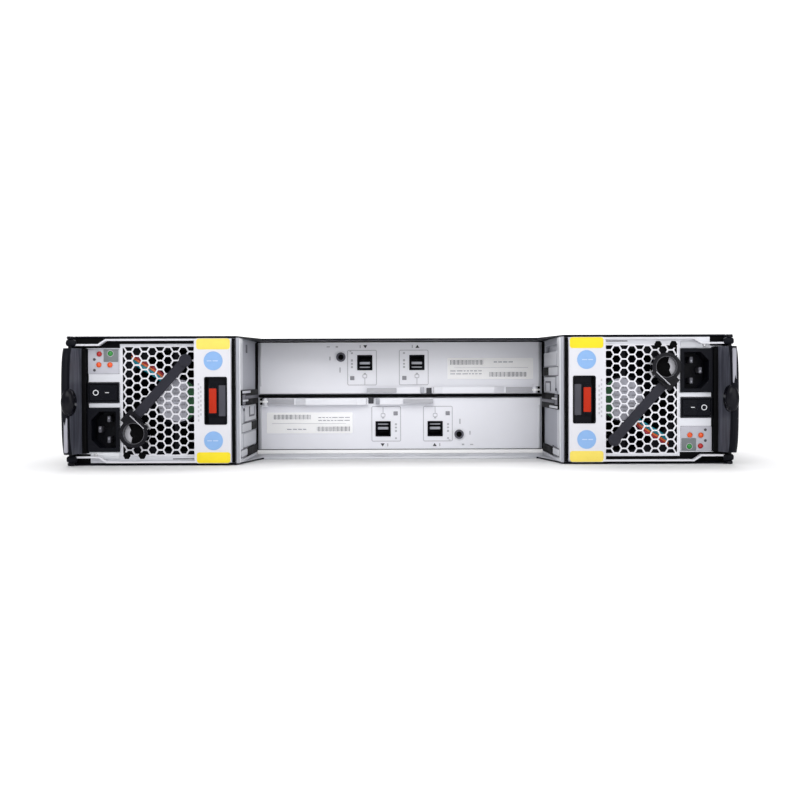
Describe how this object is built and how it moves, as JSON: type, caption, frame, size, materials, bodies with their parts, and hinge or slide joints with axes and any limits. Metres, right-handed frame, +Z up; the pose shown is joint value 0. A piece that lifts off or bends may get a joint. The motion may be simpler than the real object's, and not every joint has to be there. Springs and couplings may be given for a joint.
{
  "type": "disk shelf enclosure",
  "caption": "Flat rack enclosure with side power modules, a recessed stack of interface modules between them, pull handles and punched air grilles.",
  "frame": {"origin": "under the middle of the whole shelf, on the plane it rests on", "axes": "+X across the shelf, +Y from the module side towards the drive side, +Z up"},
  "size_m": [0.483, 0.6306, 0.0879],
  "materials": {
    "chassis_paint": "black powder coat",
    "cover_paint": "black powder coat",
    "bay_steel": "zinc-plated sheet",
    "cage_steel": "zinc-plated sheet",
    "midplane_board": "green circuit board",
    "cap_plastic": "dark moulded plastic",
    "power_steel": "plated sheet",
    "grille_steel": "punched plated sheet",
    "inlet_plastic": "black moulded plastic",
    "switch_plastic": "black glossy plastic",
    "grip_plastic": "dark moulded plastic",
    "bail_paint": "white coated sheet",
    "latch_plastic": "red and grey plastic",
    "strap_nylon": "black nylon",
    "clamp_nylon": "black nylon",
    "rotor_plastic": "black plastic",
    "fan_plastic": "black plastic and green board",
    "io_steel": "plated sheet",
    "port_metal": "green board with plated cages",
    "lever_plastic": "grey coated lever",
    "release_plastic": "grey plastic",
    "bezel_plastic": "dark moulded plastic",
    "handle_plastic": "dark grey plastic"
  },
  "bodies": {
    "chassis": {"chassis_tray": "chassis_paint", "top_cover": "cover_paint", "module_bay_frame": "bay_steel", "drive_cage": "cage_steel", "midplane": "midplane_board", "ear_caps": "cap_plastic"},
    "power_module_left": {"power_case_left": "power_steel", "power_grille_left": "grille_steel", "ac_inlet_left": "inlet_plastic", "side_grip_left": "grip_plastic", "cable_strap_left": "strap_nylon", "fan_and_board_left": "fan_plastic"},
    "bail_left": {"bail_handle_left": "bail_paint"},
    "latch_left": {"bail_latch_left": "latch_plastic"},
    "rocker_left": {"power_switch_left": "switch_plastic"},
    "clamp_left": {"cable_clamp_left": "clamp_nylon"},
    "fan_left": {"fan_rotor_left": "rotor_plastic"},
    "power_module_right": {"power_case_right": "power_steel", "power_grille_right": "grille_steel", "ac_inlet_right": "inlet_plastic", "side_grip_right": "grip_plastic", "cable_strap_right": "strap_nylon", "fan_and_board_right": "fan_plastic"},
    "bail_right": {"bail_handle_right": "bail_paint"},
    "latch_right": {"bail_latch_right": "latch_plastic"},
    "rocker_right": {"power_switch_right": "switch_plastic"},
    "clamp_right": {"cable_clamp_right": "clamp_nylon"},
    "fan_right": {"fan_rotor_right": "rotor_plastic"},
    "io_module_upper": {"io_case_upper": "io_steel", "io_board_upper": "port_metal"},
    "lever_upper": {"io_lever_upper": "lever_plastic"},
    "release_upper": {"io_release_upper": "release_plastic"},
    "io_module_lower": {"io_case_lower": "io_steel", "io_board_lower": "port_metal"},
    "lever_lower": {"io_lever_lower": "lever_plastic"},
    "release_lower": {"io_release_lower": "release_plastic"},
    "carrier_01": {"drive_carrier_01": "bezel_plastic"},
    "handle_01": {"carrier_handle_01": "handle_plastic"},
    "carrier_02": {"drive_carrier_02": "bezel_plastic"},
    "handle_02": {"carrier_handle_02": "handle_plastic"},
    "carrier_03": {"drive_carrier_03": "bezel_plastic"},
    "handle_03": {"carrier_handle_03": "handle_plastic"},
    "carrier_04": {"drive_carrier_04": "bezel_plastic"},
    "handle_04": {"carrier_handle_04": "handle_plastic"},
    "carrier_05": {"drive_carrier_05": "bezel_plastic"},
    "handle_05": {"carrier_handle_05": "handle_plastic"},
    "carrier_06": {"drive_carrier_06": "bezel_plastic"},
    "handle_06": {"carrier_handle_06": "handle_plastic"},
    "carrier_07": {"drive_carrier_07": "bezel_plastic"},
    "handle_07": {"carrier_handle_07": "handle_plastic"},
    "carrier_08": {"drive_carrier_08": "bezel_plastic"},
    "handle_08": {"carrier_handle_08": "handle_plastic"},
    "carrier_09": {"drive_carrier_09": "bezel_plastic"},
    "handle_09": {"carrier_handle_09": "handle_plastic"},
    "carrier_10": {"drive_carrier_10": "bezel_plastic"},
    "handle_10": {"carrier_handle_10": "handle_plastic"},
    "carrier_11": {"drive_carrier_11": "bezel_plastic"},
    "handle_11": {"carrier_handle_11": "handle_plastic"},
    "carrier_12": {"drive_carrier_12": "bezel_plastic"},
    "handle_12": {"carrier_handle_12": "handle_plastic"}
  },
  "joints": [
    {"name": "power_slide_left", "type": "slide", "parent": "chassis", "child": "power_module_left", "axis": [0, -1, 0], "range_m": [0, 0.4]},
    {"name": "bail_swing_left", "type": "hinge", "parent": "power_module_left", "child": "bail_left", "pos_m": [-0.2189, -0.2943, 0.0432], "axis": [0, 0, -1], "range_deg": [0, 90]},
    {"name": "latch_slide_left", "type": "slide", "parent": "bail_left", "child": "latch_left", "axis": [-1, 0, 0], "range_m": [0, 0.0017], "stiffness_N_per_m": 300},
    {"name": "rocker_tilt_left", "type": "hinge", "parent": "power_module_left", "child": "rocker_left", "pos_m": [-0.1979, -0.29, 0.0488], "axis": [0, 0, -1], "range_deg": [0, 12]},
    {"name": "fan_spin_left", "type": "hinge", "parent": "power_module_left", "child": "fan_left", "pos_m": [-0.15, -0.27, 0.0432], "axis": [0, 1, 0], "continuous": true},
    {"name": "clamp_slide_left", "type": "slide", "parent": "power_module_left", "child": "clamp_left", "axis": [0.6666, 0, 0.7454], "range_m": [0, 0.02]},
    {"name": "power_slide_right", "type": "slide", "parent": "chassis", "child": "power_module_right", "axis": [0, -1, 0], "range_m": [0, 0.4]},
    {"name": "bail_swing_right", "type": "hinge", "parent": "power_module_right", "child": "bail_right", "pos_m": [0.2189, -0.2943, 0.0432], "axis": [0, 0, 1], "range_deg": [0, 90]},
    {"name": "latch_slide_right", "type": "slide", "parent": "bail_right", "child": "latch_right", "axis": [1, 0, 0], "range_m": [0, 0.0017], "stiffness_N_per_m": 300},
    {"name": "rocker_tilt_right", "type": "hinge", "parent": "power_module_right", "child": "rocker_right", "pos_m": [0.1979, -0.29, 0.0376], "axis": [0, 0, 1], "range_deg": [0, 12]},
    {"name": "fan_spin_right", "type": "hinge", "parent": "power_module_right", "child": "fan_right", "pos_m": [0.15, -0.27, 0.0432], "axis": [0, 1, 0], "continuous": true},
    {"name": "clamp_slide_right", "type": "slide", "parent": "power_module_right", "child": "clamp_right", "axis": [-0.6666, 0, -0.7454], "range_m": [0, 0.02]},
    {"name": "io_slide_upper", "type": "slide", "parent": "chassis", "child": "io_module_upper", "axis": [0, -1, 0], "range_m": [0, 0.3]},
    {"name": "lever_swing_upper", "type": "hinge", "parent": "io_module_upper", "child": "lever_upper", "pos_m": [0.1005, -0.1924, 0.0488], "axis": [0, 0, 1], "range_deg": [0, 75]},
    {"name": "release_slide_upper", "type": "slide", "parent": "io_module_upper", "child": "release_upper", "axis": [-1, 0, 0], "range_m": [0, 0.003], "stiffness_N_per_m": 300},
    {"name": "io_slide_lower", "type": "slide", "parent": "chassis", "child": "io_module_lower", "axis": [0, -1, 0], "range_m": [0, 0.3]},
    {"name": "lever_swing_lower", "type": "hinge", "parent": "io_module_lower", "child": "lever_lower", "pos_m": [-0.1005, -0.1924, 0.0408], "axis": [0, 0, -1], "range_deg": [0, 75]},
    {"name": "release_slide_lower", "type": "slide", "parent": "io_module_lower", "child": "release_lower", "axis": [1, 0, 0], "range_m": [0, 0.003], "stiffness_N_per_m": 300},
    {"name": "carrier_slide_01", "type": "slide", "parent": "chassis", "child": "carrier_01", "axis": [0, 1, 0], "range_m": [0, 0.16]},
    {"name": "handle_swing_01", "type": "hinge", "parent": "carrier_01", "child": "handle_01", "pos_m": [-0.2128, 0.3021, 0.01493], "axis": [0, 0, 1], "range_deg": [0, 60]},
    {"name": "carrier_slide_02", "type": "slide", "parent": "chassis", "child": "carrier_02", "axis": [0, 1, 0], "range_m": [0, 0.16]},
    {"name": "handle_swing_02", "type": "hinge", "parent": "carrier_02", "child": "handle_02", "pos_m": [-0.1024, 0.3021, 0.01493], "axis": [0, 0, 1], "range_deg": [0, 60]},
    {"name": "carrier_slide_03", "type": "slide", "parent": "chassis", "child": "carrier_03", "axis": [0, 1, 0], "range_m": [0, 0.16]},
    {"name": "handle_swing_03", "type": "hinge", "parent": "carrier_03", "child": "handle_03", "pos_m": [0.008, 0.3021, 0.01493], "axis": [0, 0, 1], "range_deg": [0, 60]},
    {"name": "carrier_slide_04", "type": "slide", "parent": "chassis", "child": "carrier_04", "axis": [0, 1, 0], "range_m": [0, 0.16]},
    {"name": "handle_swing_04", "type": "hinge", "parent": "carrier_04", "child": "handle_04", "pos_m": [0.1184, 0.3021, 0.01493], "axis": [0, 0, 1], "range_deg": [0, 60]},
    {"name": "carrier_slide_05", "type": "slide", "parent": "chassis", "child": "carrier_05", "axis": [0, 1, 0], "range_m": [0, 0.16]},
    {"name": "handle_swing_05", "type": "hinge", "parent": "carrier_05", "child": "handle_05", "pos_m": [-0.2128, 0.3021, 0.0432], "axis": [0, 0, 1], "range_deg": [0, 60]},
    {"name": "carrier_slide_06", "type": "slide", "parent": "chassis", "child": "carrier_06", "axis": [0, 1, 0], "range_m": [0, 0.16]},
    {"name": "handle_swing_06", "type": "hinge", "parent": "carrier_06", "child": "handle_06", "pos_m": [-0.1024, 0.3021, 0.0432], "axis": [0, 0, 1], "range_deg": [0, 60]},
    {"name": "carrier_slide_07", "type": "slide", "parent": "chassis", "child": "carrier_07", "axis": [0, 1, 0], "range_m": [0, 0.16]},
    {"name": "handle_swing_07", "type": "hinge", "parent": "carrier_07", "child": "handle_07", "pos_m": [0.008, 0.3021, 0.0432], "axis": [0, 0, 1], "range_deg": [0, 60]},
    {"name": "carrier_slide_08", "type": "slide", "parent": "chassis", "child": "carrier_08", "axis": [0, 1, 0], "range_m": [0, 0.16]},
    {"name": "handle_swing_08", "type": "hinge", "parent": "carrier_08", "child": "handle_08", "pos_m": [0.1184, 0.3021, 0.0432], "axis": [0, 0, 1], "range_deg": [0, 60]},
    {"name": "carrier_slide_09", "type": "slide", "parent": "chassis", "child": "carrier_09", "axis": [0, 1, 0], "range_m": [0, 0.16]},
    {"name": "handle_swing_09", "type": "hinge", "parent": "carrier_09", "child": "handle_09", "pos_m": [-0.2128, 0.3021, 0.07147], "axis": [0, 0, 1], "range_deg": [0, 60]},
    {"name": "carrier_slide_10", "type": "slide", "parent": "chassis", "child": "carrier_10", "axis": [0, 1, 0], "range_m": [0, 0.16]},
    {"name": "handle_swing_10", "type": "hinge", "parent": "carrier_10", "child": "handle_10", "pos_m": [-0.1024, 0.3021, 0.07147], "axis": [0, 0, 1], "range_deg": [0, 60]},
    {"name": "carrier_slide_11", "type": "slide", "parent": "chassis", "child": "carrier_11", "axis": [0, 1, 0], "range_m": [0, 0.16]},
    {"name": "handle_swing_11", "type": "hinge", "parent": "carrier_11", "child": "handle_11", "pos_m": [0.008, 0.3021, 0.07147], "axis": [0, 0, 1], "range_deg": [0, 60]},
    {"name": "carrier_slide_12", "type": "slide", "parent": "chassis", "child": "carrier_12", "axis": [0, 1, 0], "range_m": [0, 0.16]},
    {"name": "handle_swing_12", "type": "hinge", "parent": "carrier_12", "child": "handle_12", "pos_m": [0.1184, 0.3021, 0.07147], "axis": [0, 0, 1], "range_deg": [0, 60]}
  ]
}
